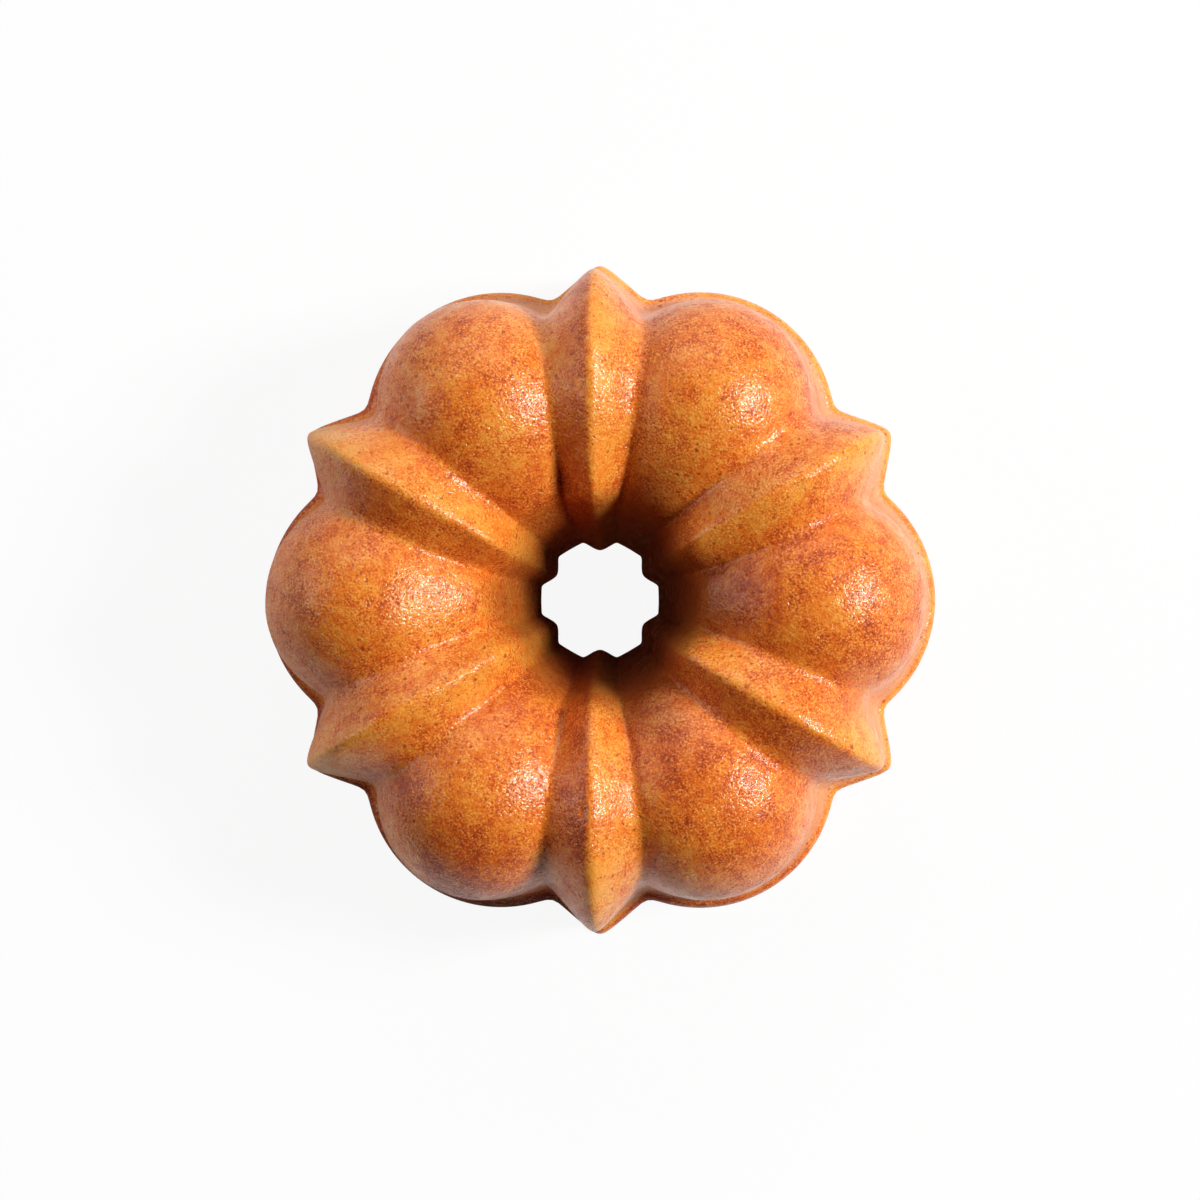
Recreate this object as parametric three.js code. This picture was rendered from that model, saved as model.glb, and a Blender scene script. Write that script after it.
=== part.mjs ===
// A fluted ring cake, as it stands after it is turned out of its mould: domed lobes with a sharp ridge
// between each two of them, round a flared centre hole, and a narrow lip round the foot. A browned crust
// lies over the moulded side and another over the flat underside, and the pale crumb fills the space
// between them.
// Millimetres, +Z up. The origin is on the underside, at the middle of the centre hole.

import * as THREE from "three";
import { ParametricGeometry } from "three/addons/geometries/ParametricGeometry.js";

// Driving dimensions
const FLUTES = 6; // lobes round the ring, with as many ridges between them
const BASE_RADIUS = 100; // the circle at the base that lobes and ridges both reach, with the lip
const VALLEY_DEPTH = 10; // how far the valleys lie inside that circle at the base
const LIP_WIDTH = 3; // how far the lip round the foot stands out from the wall
const LIP_HEIGHT = 5; // from the underside to where the lip runs out into the wall
const LIP_EDGE = 3.4; // how far up the lip's edge stays upright before it turns in
const LOBE_HEIGHT = 75; // from the underside to the top of a lobe
const RIDGE_RISE = 1.5; // how far a ridge's crest stands above the tops of the lobes
const VALLEY_DROP = 6.8; // how far the valleys' highest line lies below the tops of the lobes
const LOBE_TOP_RADIUS = 63.5; // from the axis to the top of a lobe
const RIDGE_TOP_RADIUS = 61; // from the axis to the highest point of a ridge
const VALLEY_TOP_RADIUS = 57.5; // from the axis to the highest point of a valley
const LOBE_DRAFT = 2.3; // how far the wall leans in from its foot to the widest reach of the round top
const RIDGE_DRAFT = 1.5;
const VALLEY_DRAFT = 6;
const HOLE_RADIUS = 17.5; // the centre hole at the base, between the ridges
const HOLE_RELIEF = 0.4; // how much wider the hole is where a valley runs into it
const TOOTH_HEIGHT = 2.7; // how far a ridge stands into the hole at the base
const RIDGE_HALF_WIDTH = 14.1; // from a ridge's crest to its valleys, at the outer foot
const TOOTH_HALF_WIDTH = 4.7; // the same at the foot of the centre hole
const CREST_ROUNDING = 2; // half the width of the rounded edge along a ridge
const DOME_END = THREE.MathUtils.degToRad(27); // slope at which a round top flattens into the shoulder
const BRIM_SLOPE = THREE.MathUtils.degToRad(38); // slope at which the shoulder turns down into the hole
const RIDGE_DOME_END = THREE.MathUtils.degToRad(18); // the same two slopes along a ridge's crest
const RIDGE_BRIM_SLOPE = THREE.MathUtils.degToRad(25);
const BRIM_RADIUS = 36; // from the axis to where the shoulder turns down
const BRIM_ROUNDING = 10; // how far the turn is rounded, along the shoulder
const CRUST = 2; // thickness of the moulded crust
const BASE_CRUST = 2.5; // thickness of the crust on the underside
const CLEARANCE = 0.4; // between the crusts and the crumb

// Mesh steps
const FLANK_STEPS = 3; // from a ridge's crest to a valley
const LOBE_STEPS = 5; // from a valley to the middle of a lobe
const SKIN_STEPS = { lip: 4, face: 3, dome: 9, shoulder: 3, hole: 7 }; // along an outline, on the skin
const INNER_STEPS = { wall: 5, dome: 10, shoulder: 4, hole: 8 }; // the same on the faces inside the cake
const CREST_CROWDING = 1.6; // above 1, the steps across a flank lie closer near the crest
const TRIM_ROUNDS = 40; // halvings that find where an outline meets a level

const HALF_PITCH = Math.PI / FLUTES;
const CRUMB_FLOOR = BASE_CRUST + CLEARANCE; // the height at which the crumb starts

// An outline in a plane through the axis, with x as the distance from it and y as the height: a drafted
// wall that is tangent to the round top, the round top itself, a flatter shoulder that leans towards the
// hole, and the side of the hole. The round top fills the width between its highest point and the draft.
// On the skin, a lip stands out from the wall's foot, and the wall's face starts above it.
function outline({ baseRadius, topRadius, height, draft, domeEnd, brimSlope, holeRadius }) {
  const foot = new THREE.Vector2(baseRadius - LIP_WIDTH, 0);
  const arch = foot.x - draft - topRadius;
  const centre = new THREE.Vector2(topRadius, height - arch);
  const toFoot = foot.clone().sub(centre);
  const wallAngle = Math.atan2(toFoot.y, toFoot.x) + Math.acos(arch / toFoot.length());
  const upright = Math.PI / 2;
  const dome = new THREE.EllipseCurve(centre.x, centre.y, arch, arch, wallAngle, upright + domeEnd);
  const wall = new THREE.LineCurve(foot, dome.getPoint(0));

  const onWall = (level) => wall.getPoint(shareAtHeight(wall, 0, level));
  const edge = new THREE.Vector2(baseRadius, 0);
  const edgeTop = new THREE.Vector2(baseRadius, LIP_EDGE);
  const lipTop = onWall(LIP_HEIGHT);
  const lip = new THREE.CubicBezierCurve(edge, edgeTop, onWall(LIP_HEIGHT - LIP_EDGE), lipTop);
  const face = new THREE.LineCurve(lipTop, dome.getPoint(0));

  const bend = dome.getPoint(1);
  const lean = (bend.x - BRIM_RADIUS) / (Math.sin(brimSlope) - Math.sin(domeEnd));
  const leanCentre = bend.clone().lerp(centre, lean / arch);
  const leanAngles = [upright + domeEnd, upright + brimSlope];
  const shoulder = new THREE.EllipseCurve(leanCentre.x, leanCentre.y, lean, lean, ...leanAngles);

  const brim = shoulder.getPoint(1);
  const turn = brim.clone().addScaledVector(shoulder.getTangent(1), BRIM_ROUNDING);
  const hole = new THREE.CubicBezierCurve(brim, turn, turn, new THREE.Vector2(holeRadius, 0));
  return { lip, face, wall, dome, shoulder, hole };
}

// The point at a share of one stretch of an outline, moved square to it into the cake.
function insetPoint(curve, share, inset) {
  const along = curve.getTangent(share);
  return curve.getPoint(share).add(new THREE.Vector2(-along.y, along.x).multiplyScalar(inset));
}

// The share of a stretch at which its inset line passes a height. The line rises or falls all the way.
function shareAtHeight(curve, inset, height) {
  const rises = curve.getPoint(1).y > curve.getPoint(0).y;
  let low = 0;
  let high = 1;
  for (let round = 0; round < TRIM_ROUNDS; round += 1) {
    const middle = (low + high) / 2;
    const isBelow = insetPoint(curve, middle, inset).y < height;
    if (isBelow === rises) low = middle;
    else high = middle;
  }
  return (low + high) / 2;
}

const LOBE_OUTLINE = outline({
  baseRadius: BASE_RADIUS,
  topRadius: LOBE_TOP_RADIUS,
  height: LOBE_HEIGHT,
  draft: LOBE_DRAFT,
  domeEnd: DOME_END,
  brimSlope: BRIM_SLOPE,
  holeRadius: HOLE_RADIUS,
});
const VALLEY_OUTLINE = outline({
  baseRadius: BASE_RADIUS - VALLEY_DEPTH,
  topRadius: VALLEY_TOP_RADIUS,
  height: LOBE_HEIGHT - VALLEY_DROP,
  draft: VALLEY_DRAFT,
  domeEnd: DOME_END,
  brimSlope: BRIM_SLOPE,
  holeRadius: HOLE_RADIUS + HOLE_RELIEF,
});
const RIDGE_OUTLINE = outline({
  baseRadius: BASE_RADIUS,
  topRadius: RIDGE_TOP_RADIUS,
  height: LOBE_HEIGHT + RIDGE_RISE,
  draft: RIDGE_DRAFT,
  domeEnd: RIDGE_DOME_END,
  brimSlope: RIDGE_BRIM_SLOPE,
  holeRadius: HOLE_RADIUS - TOOTH_HEIGHT,
});

// A ridge narrows from its outer foot to the foot of the hole, slowly at first and then faster.
function ridgeHalfWidth(radius) {
  const span = BASE_RADIUS - VALLEY_DEPTH - HOLE_RADIUS;
  const share = THREE.MathUtils.clamp((radius - HOLE_RADIUS) / span, 0, 1);
  const eased = 1 - (1 - share) ** 2;
  return THREE.MathUtils.lerp(TOOTH_HALF_WIDTH, RIDGE_HALF_WIDTH, eased);
}

// The columns of points round the ring. Each lies on a ridge's flank, a share of the way from the crest
// to the valley, or on a lobe, a share of the way from the valley to the lobe's middle.
function fluteColumns() {
  const half = [];
  for (let step = 0; step < FLANK_STEPS; step += 1) {
    half.push({ onLobe: false, share: (step / FLANK_STEPS) ** CREST_CROWDING });
  }
  for (let step = 0; step <= LOBE_STEPS; step += 1) {
    half.push({ onLobe: true, share: step / LOBE_STEPS });
  }
  const columns = [];
  for (let flute = 0; flute < FLUTES; flute += 1) {
    const crestAngle = (2 * flute + 1) * HALF_PITCH;
    const before = half.slice(1).reverse();
    before.forEach((column) => columns.push({ ...column, crestAngle, side: -1 }));
    half.slice(0, -1).forEach((column) => columns.push({ ...column, crestAngle, side: 1 }));
  }
  return columns;
}

const COLUMNS = fluteColumns();

// A point at a distance along a line from the axis, moved sideways from that line and up.
function fromAxis(angle, along, sideways, height) {
  const x = along * Math.cos(angle) - sideways * Math.sin(angle);
  const y = along * Math.sin(angle) + sideways * Math.cos(angle);
  return new THREE.Vector3(x, y, height);
}

// A ridge's flank: straight from the valley up to the crest, which is rounded over.
function flankPoint(column, valley, crest) {
  const halfWidth = ridgeHalfWidth(valley.x);
  const valleyAlong = Math.sqrt(valley.x ** 2 - halfWidth ** 2);
  const rounding = CREST_ROUNDING / halfWidth;
  const fall = (Math.hypot(column.share, rounding) - rounding) / (Math.hypot(1, rounding) - rounding);
  const along = THREE.MathUtils.lerp(crest.x, valleyAlong, fall);
  const height = THREE.MathUtils.lerp(crest.y, valley.y, fall);
  return fromAxis(column.crestAngle, along, column.side * halfWidth * column.share, height);
}

// Half of a lobe: a circular arc from the valley to the lobe's middle line.
function lobePoint(column, valley, top) {
  const valleyAngle = Math.asin(ridgeHalfWidth(valley.x) / valley.x);
  const halfChord = valley.x * Math.sin(HALF_PITCH - valleyAngle);
  const chordAlong = valley.x * Math.cos(HALF_PITCH - valleyAngle);
  const sagitta = Math.hypot(top.x - chordAlong, top.y - valley.y);
  const halfArc = 2 * Math.atan2(sagitta, halfChord);
  const arc = halfArc * (1 - column.share);
  const rise = (Math.cos(arc) - Math.cos(halfArc)) / (1 - Math.cos(halfArc));
  const along = THREE.MathUtils.lerp(chordAlong, top.x, rise);
  const height = THREE.MathUtils.lerp(valley.y, top.y, rise);
  const sideways = (halfChord * Math.sin(arc)) / Math.sin(halfArc);
  return fromAxis(column.crestAngle + column.side * HALF_PITCH, along, -column.side * sideways, height);
}

// A row of points round the ring, at a share of one stretch of the outlines. The wall and the side of the
// hole start and end at the floor height.
function row(stretch, share, inset, floor) {
  const points = [VALLEY_OUTLINE, LOBE_OUTLINE, RIDGE_OUTLINE].map((curves) => {
    const curve = curves[stretch];
    const start = stretch === "wall" ? shareAtHeight(curve, inset, floor) : 0;
    const end = stretch === "hole" ? shareAtHeight(curve, inset, floor) : 1;
    return insetPoint(curve, THREE.MathUtils.lerp(start, end, share), inset);
  });
  const [valley, top, crest] = points;
  return COLUMNS.map((column) =>
    column.onLobe ? lobePoint(column, valley, top) : flankPoint(column, valley, crest),
  );
}

// The rows of the fluted surface at a depth below the skin, from the outer foot over the top and down
// the hole.
function flutedRows(inset, floor, steps) {
  const [first] = Object.keys(steps);
  const rows = [row(first, 0, inset, floor)];
  Object.entries(steps).forEach(([stretch, count]) => {
    for (let step = 1; step <= count; step += 1) {
      rows.push(row(stretch, step / count, inset, floor));
    }
  });
  return rows;
}

// A closed ring through rows of points: each row goes round the axis, and the last row joins the first.
function ringGeometry(rows) {
  const place = (u, v, target) => {
    const points = rows[Math.round(v * rows.length) % rows.length];
    target.copy(points[Math.round(u * points.length) % points.length]);
  };
  return new ParametricGeometry(place, COLUMNS.length, rows.length);
}

function bakedMesh(name, rows, color, roughness) {
  const material = new THREE.MeshStandardMaterial({ color, roughness, metalness: 0 });
  const mesh = new THREE.Mesh(ringGeometry(rows), material);
  mesh.name = name;
  return mesh;
}

// The skin that formed against the mould: the fluted surface and the same surface one crust deeper.
function mouldedCrust() {
  const skin = flutedRows(0, 0, SKIN_STEPS);
  const inside = flutedRows(CRUST, CRUMB_FLOOR, INNER_STEPS);
  const outerFoot = row("wall", 0, CRUST, 0);
  const holeFoot = row("hole", 1, CRUST, 0);
  const rows = [...skin, holeFoot, ...inside.reverse(), outerFoot];
  return bakedMesh("moulded_crust", rows, 0xd27a38, 0.45);
}

// The flat crust on the underside, within the foot of the moulded crust.
function baseCrust() {
  const inset = CRUST + CLEARANCE;
  const rows = [
    row("wall", 0, inset, 0),
    row("wall", 0, inset, BASE_CRUST),
    row("hole", 1, inset, BASE_CRUST),
    row("hole", 1, inset, 0),
  ];
  return bakedMesh("base_crust", rows, 0xb9743a, 0.8);
}

// The pale inside, on the base crust and under the moulded one.
function crumb() {
  const rows = flutedRows(CRUST + CLEARANCE, CRUMB_FLOOR, INNER_STEPS);
  return bakedMesh("crumb", rows, 0xf0cf8a, 0.9);
}

const cake = new THREE.Group();
cake.add(mouldedCrust(), baseCrust(), crumb());

export default cake;
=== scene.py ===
"""A baked fluted ring cake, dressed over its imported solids: moulded crust, underside and crumb."""

import math

import bmesh
import bpy
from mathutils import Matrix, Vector


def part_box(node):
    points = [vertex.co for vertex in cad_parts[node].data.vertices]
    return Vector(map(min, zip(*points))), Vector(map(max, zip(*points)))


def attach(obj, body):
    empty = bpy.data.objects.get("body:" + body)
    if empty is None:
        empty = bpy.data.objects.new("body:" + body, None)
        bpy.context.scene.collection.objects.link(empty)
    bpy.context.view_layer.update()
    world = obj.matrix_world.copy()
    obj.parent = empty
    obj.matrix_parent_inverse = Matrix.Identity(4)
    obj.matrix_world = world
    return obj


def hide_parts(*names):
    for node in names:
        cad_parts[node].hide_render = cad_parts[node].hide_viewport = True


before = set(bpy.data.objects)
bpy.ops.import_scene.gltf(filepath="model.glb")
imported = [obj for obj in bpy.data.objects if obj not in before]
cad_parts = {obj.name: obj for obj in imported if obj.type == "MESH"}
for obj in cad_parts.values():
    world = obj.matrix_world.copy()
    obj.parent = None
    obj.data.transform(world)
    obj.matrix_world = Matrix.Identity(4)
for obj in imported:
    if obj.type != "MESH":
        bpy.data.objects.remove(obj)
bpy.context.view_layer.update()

# Sizes in metres, read from the solids where they have them
MM = 0.001
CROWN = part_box("moulded_crust")[1]
RING_RADIUS = CROWN.x
CAKE_HEIGHT = CROWN.z
CORE_RADIUS = 0.57 * RING_RADIUS  # the middle of the ring's own thickness
CORE_HEIGHT = 0.42 * CAKE_HEIGHT
FLUTES = 6

# How loose triangles are joined up into four-sided faces
MERGE_DISTANCE = 0.001 * MM
PAIR_FACE_ANGLE = math.radians(60)
PAIR_SHAPE_ANGLE = math.radians(80)

# How the crust's edges are kept when its faces are rounded
VALLEY_ANGLE = math.radians(20)
VALLEY_CREASE = 0.3
FOOT_ANGLE = math.radians(55)
FOOT_BAND = 0.2 * MM
FOOT_CREASE = 1.0
HOLE_EDGE = 30 * MM
ROUNDING_LEVELS = 2

# Unevenness of the baked skin: size of the swells and how far they stand proud
SWELL_SIZE = 24 * MM
SWELL_HEIGHT = 0.8 * MM
DIMPLE_SIZE = 6.5 * MM
DIMPLE_HEIGHT = 0.22 * MM
FOOT_FADE = 8 * MM

# Burst bubbles in the skin: angle round the cake, distance from its axis, width and depth
BUBBLES = (
    (29, 65.0, 3.6, 0.9),
    (268, 58.5, 3.4, 1.0),
    (271, 66.0, 2.6, 0.7),
    (63, 69.0, 3.4, 0.7),
    (331, 70.0, 2.8, 0.7),
    (300, 52.0, 2.6, 0.6),
    (92, 60.0, 2.6, 0.6),
    (152, 66.0, 2.8, 0.6),
    (208, 72.0, 2.6, 0.6),
    (235, 60.0, 2.8, 0.6),
    (8, 58.0, 2.6, 0.5),
    (176, 74.0, 2.6, 0.5),
)
BUBBLE_FLOOR = CAKE_HEIGHT / 2  # only skin above this that looks up far enough has bubbles
BUBBLE_UPWARD = 0.3

# Where the oven browned the crust more than elsewhere, or less where the last number is below zero; some
# pale spots are painted highlights and some dark ones painted shade:
# angle round the cake, distance from its axis, width and strength
BROWNING_AND_LIGHT_SPOTS = (
    (0, 46, 28, 0.16),
    (0, 69, 30, -0.10),
    (72, 58, 34, 0.06),
    (57, 70, 9, 0.10),
    (184, 80, 26, 0.05),
    (196, 73, 16, 0.08),
    (226, 80, 36, 0.08),
    (244, 84, 46, 0.18),
    (269, 60, 34, 0.13),
    (330, 66, 30, 0.05),
    (297, 52, 28, 0.14),
    (305, 84, 40, 0.04),
    (128, 66, 22, 0.06),
    (120, 50, 24, -0.12),
    (28, 86, 30, -0.06),
    (150, 90, 34, -0.10),
    (210, 90, 32, -0.04),
    (180, 50, 34, -0.08),
    (90, 60, 30, -0.06),
)

# Ridges are paler than lobes along the crest, and painted lighter, as painted light, on the flanks that
# face the key light. Flanks that face away from it are painted darker, as painted shade
LIT_FLANK_TURN = math.radians(9)
RIDGE_PALENESS_AND_LIGHT = 0.13
FLANK_PAINTED_SHADE = 0.12
CREST_BAND = 2 * MM
RIDGE_BAND = 12 * MM

# The lip round the foot is painted lighter on the side facing the light, as painted light, with a painted
# sheen band above it, and painted darker on the other side, as painted shade
LIP_PAINTED_LIGHT = 0.15
LIP_PAINTED_SHADE = 0.22
LIP_LIT_SIDE = math.radians(35)
LIP_SIDE_FADE = 0.5
LIP_TOP = (2.2 * MM, 2.9 * MM)
BAND_TOP = (7 * MM, 16 * MM)

# The crust is darker into the centre hole, partly from browning and partly as painted shade of the hole:
# fully within one distance of the axis, and fading out at another, which lies further out over a lobe than
# along a ridge. One side of the hole, whose wall faces away from the key light, is painted darker than the
# other as painted shade
THROAT_RADIUS = 22 * MM
LOBE_BRIM = 53 * MM
RIDGE_BRIM = 38 * MM
SHADED_SIDE = math.radians(-8)
SHADED_SIDE_SHARE = 0.93
LIT_SIDE_SHARE = 0.45
LIT_SIDE_REACH = 0.68
SIDE_FADE = 0.6

# Underside: how finely it is cut up, and the lumps it baked into
UNDERSIDE_CUTS = 40
UNDERSIDE_LEVELS = 1
UNDERSIDE_RELIEF = 1.0 * MM
UNDERSIDE_LUMP = 7 * MM
UNDERSIDE_MIDDLE = 0.35

# Colours of the crusts and the crumb
DARK_BROWN = (0.22, 0.029, 0.005, 1)
RED_BROWN = (0.54, 0.080, 0.009, 1)
ORANGE = (0.77, 0.180, 0.016, 1)
GOLDEN = (0.85, 0.330, 0.040, 1)
PORE_BROWN = (0.38, 0.058, 0.005, 1)
PIT_BROWN = (0.30, 0.060, 0.014, 1)
# Pale flecks: partly the crust's own grain, partly painted glints
PALE_FLECK_AND_GLINT = (0.96, 0.58, 0.20, 1)
# Colour of a painted sheen band, a reflection painted along the foot's wall
SHEEN_BAND_PINK = (0.80, 0.42, 0.24, 1)
# Brown of the centre hole, partly browning and partly painted shade
THROAT_BROWN_AND_SHADE = (0.10, 0.018, 0.004, 1)
DRY_BROWN = (0.66, 0.25, 0.065, 1)
DRY_TAN = (0.80, 0.42, 0.14, 1)
CRUMB_TAN = (0.80, 0.52, 0.19, 1)
CRUMB_CREAM = (0.90, 0.68, 0.33, 1)
CELL_BROWN = (0.55, 0.28, 0.08, 1)

# Browned crust: its patterns from the largest to the finest, with how much each moves the tone
BROAD_SIZE, BROAD_WEIGHT = 45 * MM, 0.34
PATCH_SIZE, PATCH_WEIGHT = 12 * MM, 0.3
MOTTLE_SIZE, MOTTLE_WEIGHT = 5 * MM, 0.58
GRAIN_SIZE, GRAIN_WEIGHT = 1.5 * MM, 0.4
FINE_SIZE, SPECKLE_WEIGHT = 0.6 * MM, 0.58
SPARKLE_SIZE = 0.8 * MM
TONE_START = -0.27
SPECKLE_SHARES = (1.15, 0.6)  # how strongly dark and pale patches are speckled
FLECK_AND_GLINT_SHARE, PIT_SHARE, BAND_SHARE, HOLE_SHARE = 0.28, 0.36, 0.6, 0.74
SPECK_SHARE = 0.5
GRAIN_RISE, SPARKLE_RISE, FINE_RISE, HOLE_RISE = 0.65, 0.42, 0.12, -0.3
SKIN_BUMP = 0.4 * MM
OIL_BUMP = 0.5 * MM
SKIN_ROUGHNESS = (0.62, 0.5)  # on dark and on pale patches
OIL_SHARES = (0.52, 0.82)
OIL_ROUGHNESS = 0.18

# View and light, as in the photograph: nearly straight down, with the key light low on the right
VIEW_DISTANCE = 1.0
VIEW_TILT = math.radians(2)
VIEW_LENS = 100.5
VIEW_SENSOR = 36.0
# Key, fill and back light: shape, width and depth, power, azimuth and elevation
LIGHTS = (
    ("DISK", (0.65, 0.65), 60.0, 9, 39),
    ("RECTANGLE", (2.4, 1.2), 20.0, 95, 28),
    ("RECTANGLE", (1.6, 1.0), 13.0, 168, 21),
)
LIGHT_DISTANCE = 2.2
FLOOR_SIZE = 8.0
FLOOR_WHITE = (0.86, 0.86, 0.86, 1)
FLOOR_ROUGHNESS = 0.9
FLOOR_GLOW_SHARE = 0.92
# The floor shows in the oily sheen away from the cake, and on one side more than on the other
FLOOR_MIRROR_RADII = (0.9 * RING_RADIUS, 1.4 * RING_RADIUS)
FLOOR_MIRROR_SHARES = (0.3, 0.9)
FLOOR_MIRROR_SIDE = (0.85, 0.53, 0)
ROOM_GREY = (0.05, 0.05, 0.05, 1)
HORIZON_LEVEL = 0.34
SKY_LEVEL = 0.1
SKY_START = 0.7  # how far up a direction points where the room is no brighter than overhead


# Working on meshes as by hand

def make_active(piece):
    bpy.ops.object.select_all(action="DESELECT")
    piece.select_set(True)
    bpy.context.view_layer.objects.active = piece


def merged_copy(node, name):
    """An own copy of a CAD node, its loose triangles joined up and turned into four-sided faces."""
    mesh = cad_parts[node].data.copy()
    mesh.name = name
    piece = bpy.data.objects.new(name, mesh)
    bpy.context.collection.objects.link(piece)
    make_active(piece)
    bpy.ops.mesh.customdata_custom_splitnormals_clear()
    bpy.ops.object.mode_set(mode="EDIT")
    bpy.ops.mesh.select_all(action="SELECT")
    bpy.ops.mesh.remove_doubles(threshold=MERGE_DISTANCE)
    bpy.ops.mesh.tris_convert_to_quads(face_threshold=PAIR_FACE_ANGLE, shape_threshold=PAIR_SHAPE_ANGLE)
    bpy.ops.object.mode_set(mode="OBJECT")
    return piece


def select_edges(piece, is_wanted):
    """Goes into edit mode with the edges selected that is_wanted picks."""
    make_active(piece)
    bpy.ops.object.mode_set(mode="EDIT")
    bpy.ops.mesh.select_mode(type="EDGE")
    bpy.ops.mesh.select_all(action="DESELECT")
    edited = bmesh.from_edit_mesh(piece.data)
    for edge in edited.edges:
        if is_wanted(edge):
            edge.select_set(True)
    bmesh.update_edit_mesh(piece.data)


def crease_edges(piece, is_wanted, crease):
    """Keeps the edges that is_wanted picks from being rounded away."""
    select_edges(piece, is_wanted)
    bpy.ops.transform.edge_crease(value=crease)
    bpy.ops.object.mode_set(mode="OBJECT")


def is_valley(edge):
    is_outside_hole = all(corner.co.xy.length > HOLE_EDGE for corner in edge.verts)
    is_between = len(edge.link_faces) == 2
    return is_between and is_outside_hole and edge.calc_face_angle_signed() < -VALLEY_ANGLE


def is_foot(edge):
    is_low = all(corner.co.z < FOOT_BAND for corner in edge.verts)
    return is_low and len(edge.link_faces) == 2 and edge.calc_face_angle() > FOOT_ANGLE


def is_long(edge):
    start, end = (corner.co for corner in edge.verts)
    return (end.xy - start.xy).length > RING_RADIUS / 2


def refine_faces(piece, levels, kind="CATMULL_CLARK"):
    """Splits the faces of a piece, rounded by default, or flat as they are with the kind SIMPLE."""
    make_active(piece)
    finer = piece.modifiers.new("finer_faces", "SUBSURF")
    finer.subdivision_type = kind
    finer.levels = levels
    finer.render_levels = levels
    bpy.ops.object.modifier_apply(modifier=finer.name)


def add_relief(piece, name, size, height, group, direction="NORMAL", middle=0.5):
    """Raises and lowers a piece's surface by a cloud pattern of a given size, within a vertex group."""
    clouds = bpy.data.textures.new(name, "CLOUDS")
    clouds.noise_scale = size
    clouds.noise_depth = 2
    make_active(piece)
    relief = piece.modifiers.new(name, "DISPLACE")
    relief.texture = clouds
    relief.texture_coords = "LOCAL"
    relief.direction = direction
    relief.strength = height
    relief.mid_level = middle
    relief.vertex_group = group.name
    bpy.ops.object.modifier_apply(modifier=relief.name)


def smooth_step(low, high, value):
    share = min(max((value - low) / (high - low), 0.0), 1.0)
    return share * share * (3 - 2 * share)


def place_from_above(angle, distance):
    """A place in the plan, by its angle round the cake and its distance from the axis in millimetres."""
    turn = math.radians(angle)
    return Vector((math.cos(turn), math.sin(turn))) * distance * MM


# The moulded crust

def from_core(place):
    """From the middle of the ring's own thickness out to a place on or in the crust."""
    around = Vector((place.x, place.y, 0)).normalized() * CORE_RADIUS
    return place - around - Vector((0, 0, CORE_HEIGHT))


def skin_group(piece):
    """The skin that shows, fading out at the foot so that the cake still stands flat."""
    group = piece.vertex_groups.new(name="skin")
    for corner in piece.data.vertices:
        if from_core(corner.co).dot(corner.normal) > 0:
            weight = smooth_step(0, FOOT_FADE, corner.co.z)
            group.add([corner.index], weight, "REPLACE")
    return group


def press_bubbles(piece):
    """Dents the skin where bubbles of the batter burst against the mould."""
    pits = []
    for angle, distance, width, depth in BUBBLES:
        pits.append((place_from_above(angle, distance), width / 2 * MM, depth * MM))
    for corner in piece.data.vertices:
        if corner.normal.z < BUBBLE_UPWARD or corner.co.z < BUBBLE_FLOOR:
            continue
        for place, reach, depth in pits:
            gap = (corner.co.xy - place).length
            if gap < reach:
                corner.co -= corner.normal * depth * (1 - smooth_step(0, reach, gap))


def hole_browning_and_shade(place):
    """How much of the centre hole's browning and painted shade a place of the skin has, more on the shaded
    side.
    """
    turn = math.atan2(place.y, place.x)
    on_lobe = (1 + math.cos(FLUTES * turn)) / 2
    on_side = smooth_step(-SIDE_FADE, SIDE_FADE, math.cos(turn - SHADED_SIDE))
    brim = RIDGE_BRIM + (LOBE_BRIM - RIDGE_BRIM) * on_lobe
    brim *= LIT_SIDE_REACH + (1 - LIT_SIDE_REACH) * on_side
    share = LIT_SIDE_SHARE + (SHADED_SIDE_SHARE - LIT_SIDE_SHARE) * on_side
    return share * (1 - smooth_step(THROAT_RADIUS, brim, place.xy.length))


def ridge_paleness_and_light(place):
    """How much paler than a lobe a place of the skin is on a ridge: paler on the crest, painted light on
    flanks facing the key light, painted shade on flanks facing away.
    """
    half_pitch = math.pi / FLUTES
    turn = math.atan2(place.y, place.x)
    from_crest = turn % (2 * half_pitch) - half_pitch
    sideways = math.sin(from_crest) * place.xy.length
    width = abs(sideways)
    faces_away = math.copysign(1, sideways) * math.sin(turn - from_crest - LIT_FLANK_TURN)
    faces_away = max(faces_away, 0) * smooth_step(0, CREST_BAND, width)
    lit_or_shaded = RIDGE_PALENESS_AND_LIGHT - (RIDGE_PALENESS_AND_LIGHT + FLANK_PAINTED_SHADE) * faces_away
    return lit_or_shaded * (1 - smooth_step(CREST_BAND, RIDGE_BAND, width))


def foot_light_and_shade(place):
    """How much painted light (above zero) or painted shade (below zero) the lip has at a place of the skin,
    and how much of the painted sheen band lies there.
    """
    if place.xy.length < CORE_RADIUS:
        return 0, 0
    turn = math.atan2(place.y, place.x)
    on_side = smooth_step(-LIP_SIDE_FADE, LIP_SIDE_FADE, math.cos(turn - LIP_LIT_SIDE))
    above_lip = smooth_step(*LIP_TOP, place.z)
    below_wall = 1 - smooth_step(*BAND_TOP, place.z)
    lip = LIP_PAINTED_LIGHT * on_side - LIP_PAINTED_SHADE * (1 - on_side)
    return lip * (1 - above_lip), on_side * above_lip * below_wall


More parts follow.
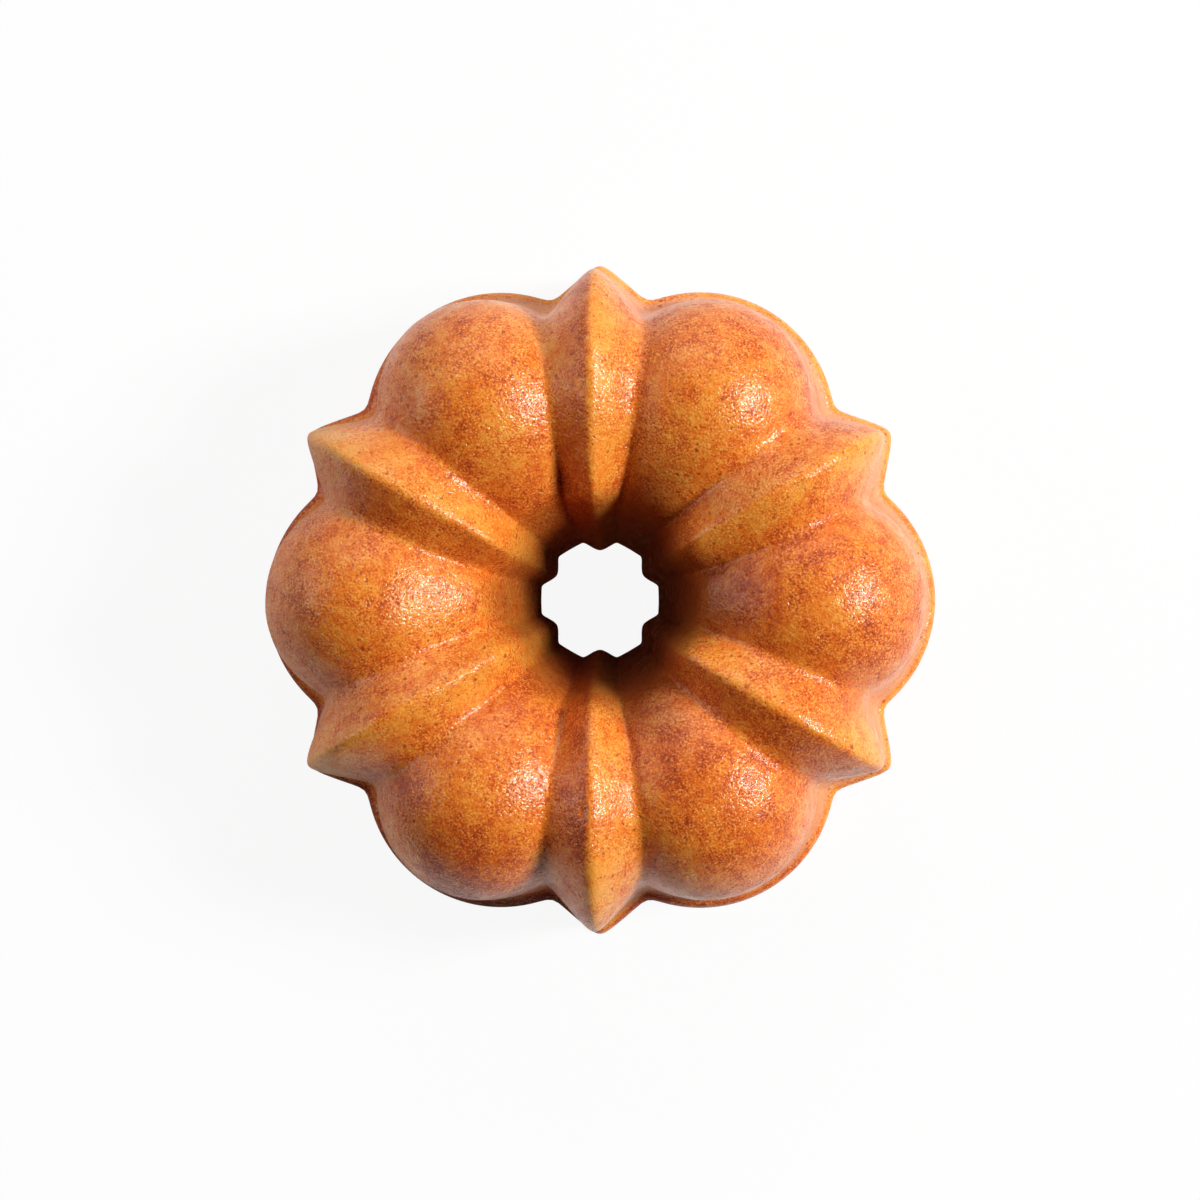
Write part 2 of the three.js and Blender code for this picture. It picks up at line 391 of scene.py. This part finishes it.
def paint_browning_and_light(piece):
    """Marks each place of the skin with how much it browned or is painted lit or shaded, with the hole's
    browning and painted shade and the painted sheen band.
    """
    spots = []
    for angle, distance, width, strength in BROWNING_AND_LIGHT_SPOTS:
        spots.append((place_from_above(angle, distance), width / 2 * MM, strength))
    painted = ("browning_and_light", "throat_browning_and_shade", "painted_sheen_band")
    for name in painted:
        piece.data.attributes.new(name, "FLOAT", "POINT")
    browning_and_light, throat_browning_and_shade, band = [piece.data.attributes[name].data for name in painted]
    for corner in piece.data.vertices:
        lip_light_and_shade, painted_sheen_band = foot_light_and_shade(corner.co)
        browned_or_lit = -ridge_paleness_and_light(corner.co) - lip_light_and_shade
        for place, reach, strength in spots:
            gap = (corner.co.xy - place).length
            if gap < reach:
                browned_or_lit += strength * (1 - smooth_step(0, reach, gap))
        browning_and_light[corner.index].value = browned_or_lit
        throat_browning_and_shade[corner.index].value = hole_browning_and_shade(corner.co)
        band[corner.index].value = painted_sheen_band


def moulded_crust():
    crust = merged_copy("moulded_crust", "browned_crust")
    crease_edges(crust, is_valley, VALLEY_CREASE)
    crease_edges(crust, is_foot, FOOT_CREASE)
    refine_faces(crust, ROUNDING_LEVELS)
    skin = skin_group(crust)
    add_relief(crust, "skin_swells", SWELL_SIZE, SWELL_HEIGHT, skin)
    add_relief(crust, "skin_dimples", DIMPLE_SIZE, DIMPLE_HEIGHT, skin)
    press_bubbles(crust)
    paint_browning_and_light(crust)
    make_active(crust)
    bpy.ops.object.shade_smooth_by_angle(angle=FOOT_ANGLE)
    return crust


# The underside

def underside_crust():
    """The flat crust, cut up finely, with shallow lumps that stay above the table."""
    under = merged_copy("base_crust", "matte_underside")
    select_edges(under, is_long)
    bpy.ops.mesh.subdivide(number_cuts=UNDERSIDE_CUTS)
    bpy.ops.object.mode_set(mode="OBJECT")
    refine_faces(under, UNDERSIDE_LEVELS, "SIMPLE")
    group = under.vertex_groups.new(name="under")
    for corner in under.data.vertices:
        if corner.co.z < FOOT_BAND:
            group.add([corner.index], 1.0, "REPLACE")
    add_relief(under, "baked_lumps", UNDERSIDE_LUMP, UNDERSIDE_RELIEF, group, "Z", UNDERSIDE_MIDDLE)
    for corner in under.data.vertices:
        corner.co.z = max(corner.co.z, 0.0)
    make_active(under)
    bpy.ops.object.shade_smooth_by_angle(angle=FOOT_ANGLE)
    return under


# Materials

class Finish:
    """A node material under construction, with short ways to add nodes and join them up."""

    def __init__(self, name):
        self.material = bpy.data.materials.new(name)
        self.material.use_nodes = True
        self.tree = self.material.node_tree
        self.surface = self.tree.nodes["Principled BSDF"]
        self.place = self.tree.nodes.new("ShaderNodeTexCoord").outputs["Object"]

    def node(self, kind, settings=None, **sockets):
        made = self.tree.nodes.new(kind)
        for name, value in (settings or {}).items():
            setattr(made, name, value)
        for name, value in sockets.items():
            self.fill(made.inputs[name.replace("_", " ")], value)
        return made

    def fill(self, socket, value):
        if isinstance(value, bpy.types.NodeSocket):
            self.tree.links.new(value, socket)
        else:
            socket.default_value = value

    def fill_in_turn(self, made, values):
        for socket, value in zip(made.inputs, values):
            self.fill(socket, value)

    def noise(self, size, detail=2.0, roughness=0.5, distortion=0.0):
        """Cloudy variation from 0 to 1, with patches of about the given size."""
        made = self.node(
            "ShaderNodeTexNoise", Vector=self.place, Scale=1 / size, Detail=detail,
            Roughness=roughness, Distortion=distortion,
        )
        return made.outputs["Fac"]

    def warped(self, size, reach):
        """The place, shifted about by a cloud pattern, so that what is drawn there loses its even shape."""
        shift = self.node("ShaderNodeTexNoise", Vector=self.place, Scale=1 / size, Detail=1.0)
        made = self.node("ShaderNodeVectorMath", {"operation": "MULTIPLY_ADD"})
        self.fill_in_turn(made, (shift.outputs["Color"], (reach,) * 3, self.place))
        return made.outputs[0]

    def pores(self, spacing, fewest, widths, edge, place=None):
        """Round spots of many widths, 1 inside and 0 outside. The share fewest has the smallest width."""
        made = self.node("ShaderNodeTexVoronoi", Vector=place or self.place, Scale=1 / spacing)
        width = self.remap(made.outputs["Color"], fewest, 1.0, *widths)
        return self.remap(self.math("SUBTRACT", width, made.outputs["Distance"]), *edge)

    def attribute(self, name):
        made = self.node("ShaderNodeAttribute", {"attribute_name": name})
        return made.outputs["Fac"]

    def towards(self, direction):
        """How far a place lies from the middle in a direction."""
        made = self.node("ShaderNodeVectorMath", {"operation": "DOT_PRODUCT"})
        self.fill_in_turn(made, (self.place, direction))
        return made.outputs["Value"]

    def from_axis(self):
        """Distance from the cake's upright axis."""
        flat = self.node("ShaderNodeVectorMath", {"operation": "MULTIPLY"})
        self.fill_in_turn(flat, (self.place, (1, 1, 0)))
        made = self.node("ShaderNodeVectorMath", {"operation": "LENGTH"})
        self.fill(made.inputs[0], flat.outputs[0])
        return made.outputs["Value"]

    def math(self, operation, first, second=0.0, third=0.0):
        made = self.node("ShaderNodeMath", {"operation": operation})
        self.fill_in_turn(made, (first, second, third))
        return made.outputs[0]

    def add_share(self, total, share, value):
        """A total with a share of a value added."""
        return self.math("MULTIPLY_ADD", value, share, total)

    def remap(self, value, low, high, to_low=0.0, to_high=1.0):
        made = self.node("ShaderNodeMapRange", {"interpolation_type": "SMOOTHSTEP"})
        self.fill_in_turn(made, (value, low, high, to_low, to_high))
        return made.outputs[0]

    def mix(self, share, first, second):
        made = self.node("ShaderNodeMix", {"data_type": "RGBA"})
        self.fill(made.inputs[0], share)
        self.fill(made.inputs[6], first)
        self.fill(made.inputs[7], second)
        return made.outputs[2]

    def cover(self, colour, mask, share, with_colour):
        """A colour with a share of another one over it where the mask is."""
        return self.mix(self.math("MULTIPLY", mask, share), colour, with_colour)

    def ramp(self, value, stops):
        made = self.node("ShaderNodeValToRGB", Fac=value)
        elements = made.color_ramp.elements
        while len(elements) < len(stops):
            elements.new(1.0)
        for element, (position, colour) in zip(elements, stops):
            element.position = position
            element.color = colour
        return made.outputs[0]

    def bump(self, height, distance, strength=1.0):
        made = self.node("ShaderNodeBump", Height=height, Distance=distance, Strength=strength)
        return made.outputs[0]

    def dress(self, piece):
        piece.data.materials.clear()
        piece.data.materials.append(self.material)


def browned_finish():
    """Crust that browned against an oiled mould: golden, with darker patches, pores, grain and sheen, plus
    painted light and shade from the skin's marks.
    """
    finish = Finish("browned_crust")
    broad = finish.noise(BROAD_SIZE, detail=2, distortion=0.4)
    patches = finish.noise(PATCH_SIZE, detail=4, roughness=0.6, distortion=0.5)
    mottle = finish.noise(MOTTLE_SIZE, detail=3, roughness=0.6)
    grain = finish.noise(GRAIN_SIZE, detail=2, roughness=0.6)
    fine = finish.noise(FINE_SIZE, detail=1)
    sparkle = finish.noise(SPARKLE_SIZE, detail=1)

    tone = finish.add_share(TONE_START, BROAD_WEIGHT, broad)
    tone = finish.add_share(tone, PATCH_WEIGHT, patches)
    tone = finish.add_share(tone, MOTTLE_WEIGHT, mottle)
    tone = finish.add_share(tone, GRAIN_WEIGHT, grain)
    roughened = finish.remap(patches, 0.36, 0.64, *SPECKLE_SHARES)
    speckle = finish.math("MULTIPLY", finish.math("SUBTRACT", fine, 0.5), roughened)
    tone = finish.add_share(tone, SPECKLE_WEIGHT, speckle)
    # The painted marks carry browning plus painted light and shade on the ridges, the lip and some spots
    tone = finish.math("SUBTRACT", tone, finish.attribute("browning_and_light"))
    stops = ((0.14, DARK_BROWN), (0.36, RED_BROWN), (0.54, ORANGE), (0.76, GOLDEN))
    crust = finish.ramp(tone, stops)
    # Pale flecks, partly grain of the crust and partly painted glints
    crust = finish.cover(crust, finish.remap(speckle, 0.02, 0.22), FLECK_AND_GLINT_SHARE, PALE_FLECK_AND_GLINT)
    crust = finish.cover(crust, finish.remap(speckle, -0.04, -0.22), PIT_SHARE, PIT_BROWN)
    # Painted reflection: a pale pink band painted along the foot's wall where it would reflect the white
    # surroundings
    crust = finish.cover(crust, finish.attribute("painted_sheen_band"), BAND_SHARE, SHEEN_BAND_PINK)

    pore_place = finish.warped(1.8 * MM, 1.5 * MM)
    pore = finish.pores(2.1 * MM, 0.4, (0.0, 0.29), (-0.11, 0.07), pore_place)
    speck_place = finish.warped(1.1 * MM, 0.8 * MM)
    speck = finish.pores(1.2 * MM, 0.4, (0.0, 0.34), (-0.1, 0.1), speck_place)
    holes = finish.math("MAXIMUM", pore, finish.math("MULTIPLY", speck, SPECK_SHARE))
    crust = finish.cover(crust, holes, HOLE_SHARE, PORE_BROWN)
    # Browning and painted shade darken the centre hole
    crust = finish.mix(finish.attribute("throat_browning_and_shade"), crust, THROAT_BROWN_AND_SHADE)

    height = finish.add_share(finish.math("MULTIPLY", sparkle, SPARKLE_RISE), GRAIN_RISE, grain)
    height = finish.add_share(height, FINE_RISE, fine)
    height = finish.add_share(height, HOLE_RISE, holes)
    surface = finish.surface
    finish.fill(surface.inputs["Base Color"], crust)
    finish.fill(surface.inputs["Roughness"], finish.remap(patches, 0.3, 0.7, *SKIN_ROUGHNESS))
    finish.fill(surface.inputs["Normal"], finish.bump(height, SKIN_BUMP))
    finish.fill(surface.inputs["Coat Normal"], finish.bump(height, OIL_BUMP))
    finish.fill(surface.inputs["Coat Weight"], finish.remap(mottle, 0.38, 0.62, *OIL_SHARES))
    surface.inputs["Coat Roughness"].default_value = OIL_ROUGHNESS
    surface.inputs["Specular IOR Level"].default_value = 0.12
    surface.inputs["Subsurface Weight"].default_value = 0.15
    surface.inputs["Subsurface Radius"].default_value = (1.0, 0.35, 0.12)
    surface.inputs["Subsurface Scale"].default_value = 2.0 * MM
    return finish


def underside_finish():
    """Dry crust that baked in the open air: matte, mottled and full of pores."""
    finish = Finish("matte_underside")
    patches = finish.noise(16 * MM, detail=4, roughness=0.6, distortion=0.6)
    grain = finish.noise(1.4 * MM, detail=3, roughness=0.6)
    tone = finish.add_share(finish.math("MULTIPLY", patches, 0.7), 0.35, grain)
    crust = finish.ramp(tone, ((0.30, RED_BROWN), (0.48, DRY_BROWN), (0.66, DRY_TAN)))
    pore = finish.pores(3.0 * MM, 0.2, (0.0, 0.24), (-0.04, 0.04))
    crust = finish.cover(crust, pore, 0.7, DARK_BROWN)
    height = finish.add_share(finish.math("MULTIPLY", grain, 0.6), -0.8, pore)
    surface = finish.surface
    finish.fill(surface.inputs["Base Color"], crust)
    finish.fill(surface.inputs["Normal"], finish.bump(height, 0.8 * MM, 0.9))
    surface.inputs["Roughness"].default_value = 0.8
    return finish


def crumb_finish():
    """Pale soft inside with small round air cells."""
    finish = Finish("pale_crumb")
    patches = finish.noise(9 * MM, detail=4)
    crumb = finish.ramp(patches, ((0.3, CRUMB_TAN), (0.7, CRUMB_CREAM)))
    hole = finish.pores(1.8 * MM, 0.2, (0.05, 0.42), (-0.05, 0.05))
    crumb = finish.cover(crumb, hole, 0.6, CELL_BROWN)
    surface = finish.surface
    finish.fill(surface.inputs["Base Color"], crumb)
    finish.fill(surface.inputs["Normal"], finish.bump(hole, -0.9 * MM, 0.9))
    surface.inputs["Roughness"].default_value = 0.9
    return finish


# Studio

def add_light(shape, size, power, azimuth, elevation):
    """An area light round the cake, pointing at its middle."""
    bpy.ops.object.light_add(type="AREA")
    light = bpy.context.object
    light.data.shape = shape
    light.data.size, light.data.size_y = size
    light.data.energy = power
    turn, rise = math.radians(azimuth), math.radians(elevation)
    level = math.cos(rise)
    towards = Vector((level * math.cos(turn), level * math.sin(turn), math.sin(rise)))
    light.location = towards * LIGHT_DISTANCE + Vector((0, 0, CORE_HEIGHT))
    light.rotation_euler = (-towards).to_track_quat("-Z", "Y").to_euler()


def add_sky():
    """A dim grey room: brighter round the horizon than overhead."""
    world = bpy.data.worlds.new("grey_room")
    bpy.context.scene.world = world
    world.use_nodes = True
    nodes, links = world.node_tree.nodes, world.node_tree.links
    towards = nodes.new("ShaderNodeTexCoord")
    split = nodes.new("ShaderNodeSeparateXYZ")
    level = nodes.new("ShaderNodeMapRange")
    level.inputs["From Min"].default_value = 0.0
    level.inputs["From Max"].default_value = SKY_START
    level.inputs["To Min"].default_value = HORIZON_LEVEL
    level.inputs["To Max"].default_value = SKY_LEVEL
    links.new(towards.outputs["Generated"], split.inputs[0])
    links.new(split.outputs["Z"], level.inputs["Value"])
    links.new(level.outputs[0], nodes["Background"].inputs["Strength"])
    nodes["Background"].inputs["Color"].default_value = ROOM_GREY


def add_floor():
    """A white floor that takes the cake's shadow and shows white to the camera."""
    bpy.ops.mesh.primitive_plane_add(size=FLOOR_SIZE)
    floor = bpy.context.object
    floor.name = "floor"
    paper = Finish("white_floor")
    paper.surface.inputs["Base Color"].default_value = FLOOR_WHITE
    paper.surface.inputs["Roughness"].default_value = FLOOR_ROUGHNESS
    glow = paper.node("ShaderNodeEmission")
    path = paper.node("ShaderNodeLightPath")
    is_open = paper.remap(paper.from_axis(), *FLOOR_MIRROR_RADII)
    mirrored = paper.math("MAXIMUM", path.outputs["Is Glossy Ray"], path.outputs["Is Transmission Ray"])
    mirrored = paper.math("MULTIPLY", mirrored, is_open)
    to_side = paper.towards(FLOOR_MIRROR_SIDE)
    side_share = paper.remap(to_side, -RING_RADIUS, RING_RADIUS, *FLOOR_MIRROR_SHARES)
    mirrored = paper.math("MULTIPLY", mirrored, side_share)
    seen = paper.math("MULTIPLY", path.outputs["Is Camera Ray"], FLOOR_GLOW_SHARE)
    blend = paper.node("ShaderNodeMixShader")
    glow_share = paper.math("MAXIMUM", seen, mirrored)
    paper.fill_in_turn(blend, (glow_share, paper.surface.outputs[0], glow.outputs[0]))
    paper.fill(paper.tree.nodes["Material Output"].inputs["Surface"], blend.outputs[0])
    paper.dress(floor)


def add_camera():
    bpy.ops.object.camera_add()
    camera = bpy.context.object
    camera.data.lens = VIEW_LENS
    camera.data.sensor_width = VIEW_SENSOR
    camera.location = Vector((math.sin(VIEW_TILT), 0, math.cos(VIEW_TILT))) * VIEW_DISTANCE
    camera.rotation_euler = (0, VIEW_TILT, 0)
    bpy.context.scene.camera = camera


crust = moulded_crust()
browned_finish().dress(crust)
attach(crust, "root")
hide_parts("moulded_crust")

under = underside_crust()
underside_finish().dress(under)
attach(under, "root")
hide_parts("base_crust")

crumb_finish().dress(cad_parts["crumb"])

add_floor()
for light in LIGHTS:
    add_light(*light)
add_sky()
add_camera()
bpy.context.scene.view_settings.view_transform = "Standard"
